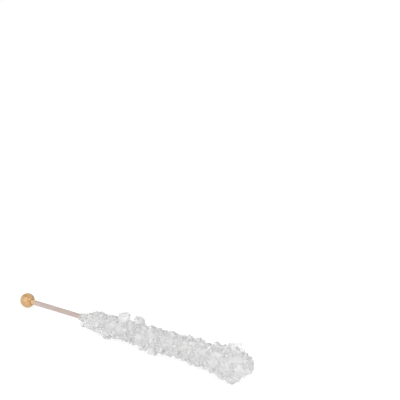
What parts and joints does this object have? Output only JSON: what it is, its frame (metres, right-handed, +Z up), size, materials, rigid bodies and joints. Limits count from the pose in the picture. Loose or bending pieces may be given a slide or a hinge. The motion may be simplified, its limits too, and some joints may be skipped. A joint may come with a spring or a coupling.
{
  "type": "rock candy stick",
  "caption": "Rock candy stick: a thin wooden dowel with a ball at one end and a long fused crust of clear sugar crystals at the other, thickest at its tip.",
  "frame": {"origin": "centre of the object's box, on the surface that it lies on", "axes": "+X from the ball to the thick end of the candy, +Z up as it lies"},
  "size_m": [0.17, 0.0182, 0.0199],
  "materials": {
    "ball": "lacquered, glossy",
    "stick": "bare, smooth",
    "sugar": "glossy facets, milky inside"
  },
  "bodies": {
    "root": {"ball": "ball", "stick": "stick", "rock_candy": "sugar"}
  },
  "joints": []
}
